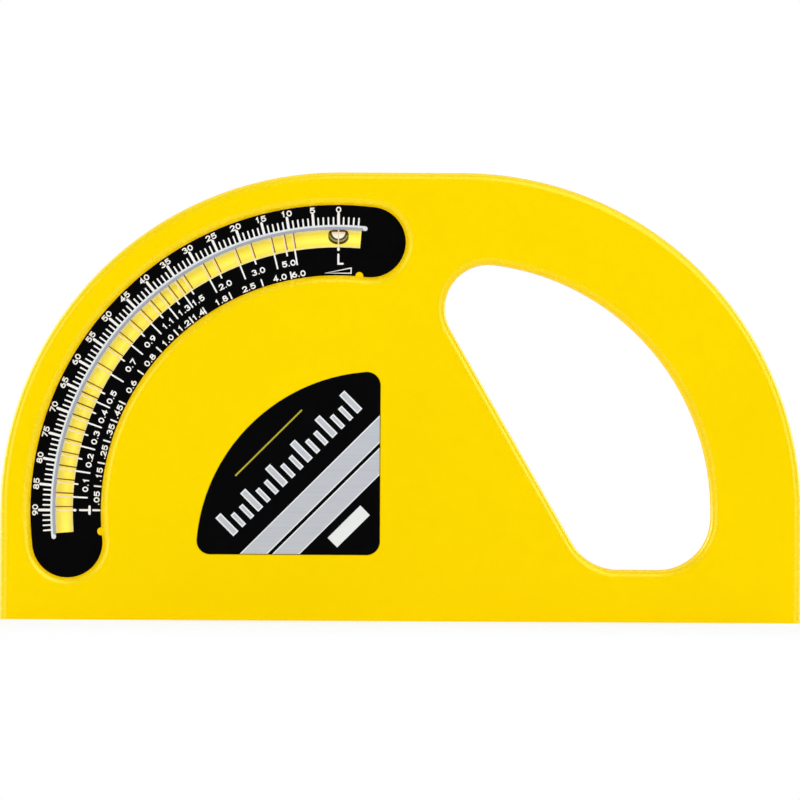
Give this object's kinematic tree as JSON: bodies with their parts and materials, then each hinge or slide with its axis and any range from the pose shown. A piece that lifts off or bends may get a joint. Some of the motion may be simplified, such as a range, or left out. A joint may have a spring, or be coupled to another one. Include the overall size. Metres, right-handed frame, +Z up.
{
  "type": "slant level",
  "caption": "Hand-held slant level: a half-round casing with a flat measuring base, a curved spirit vial behind an angle and slope scale, and a finger opening.",
  "frame": {"origin": "middle of the measuring base, at mid thickness", "axes": "+X along the base, to the right as the scale is read; +Y from the front face to the back face; +Z up, away from the base"},
  "size_m": [0.2, 0.02, 0.112],
  "materials": {
    "casing": "smooth injection-moulded yellow plastic, semi-gloss",
    "screw": "zinc-plated steel",
    "scale_plate": "clear acrylic sheet",
    "mask": "black printed film with white scales",
    "vial": "clear acrylic tube, bent to an arc",
    "plug": "moulded stopper",
    "spirit": "clear liquid, dyed yellow",
    "bubble": "air",
    "cradle": "pale moulded plastic",
    "name_plate": "printed plate, black with silver stripes"
  },
  "bodies": {
    "level": {"front_shell": "casing", "rear_shell": "casing", "case_screws": "screw", "scale_plate": "scale_plate", "scale_mask": "mask", "vial_tube": "vial", "upper_plug": "plug", "lower_plug": "plug", "spirit_fill": "spirit", "vial_cradle": "cradle", "cradle_screws": "screw", "name_plate": "name_plate"},
    "bubble": {"air_bubble": "bubble"}
  },
  "joints": [
    {"name": "bubble_travel", "type": "hinge", "parent": "level", "child": "bubble", "pos_m": [-0.0159, -0.00315, 0.0273], "axis": [0, -1, 0], "range_deg": [-4, 94], "stiffness_Nm_per_rad": 0.0003, "deforming": ["spirit_fill"]}
  ]
}
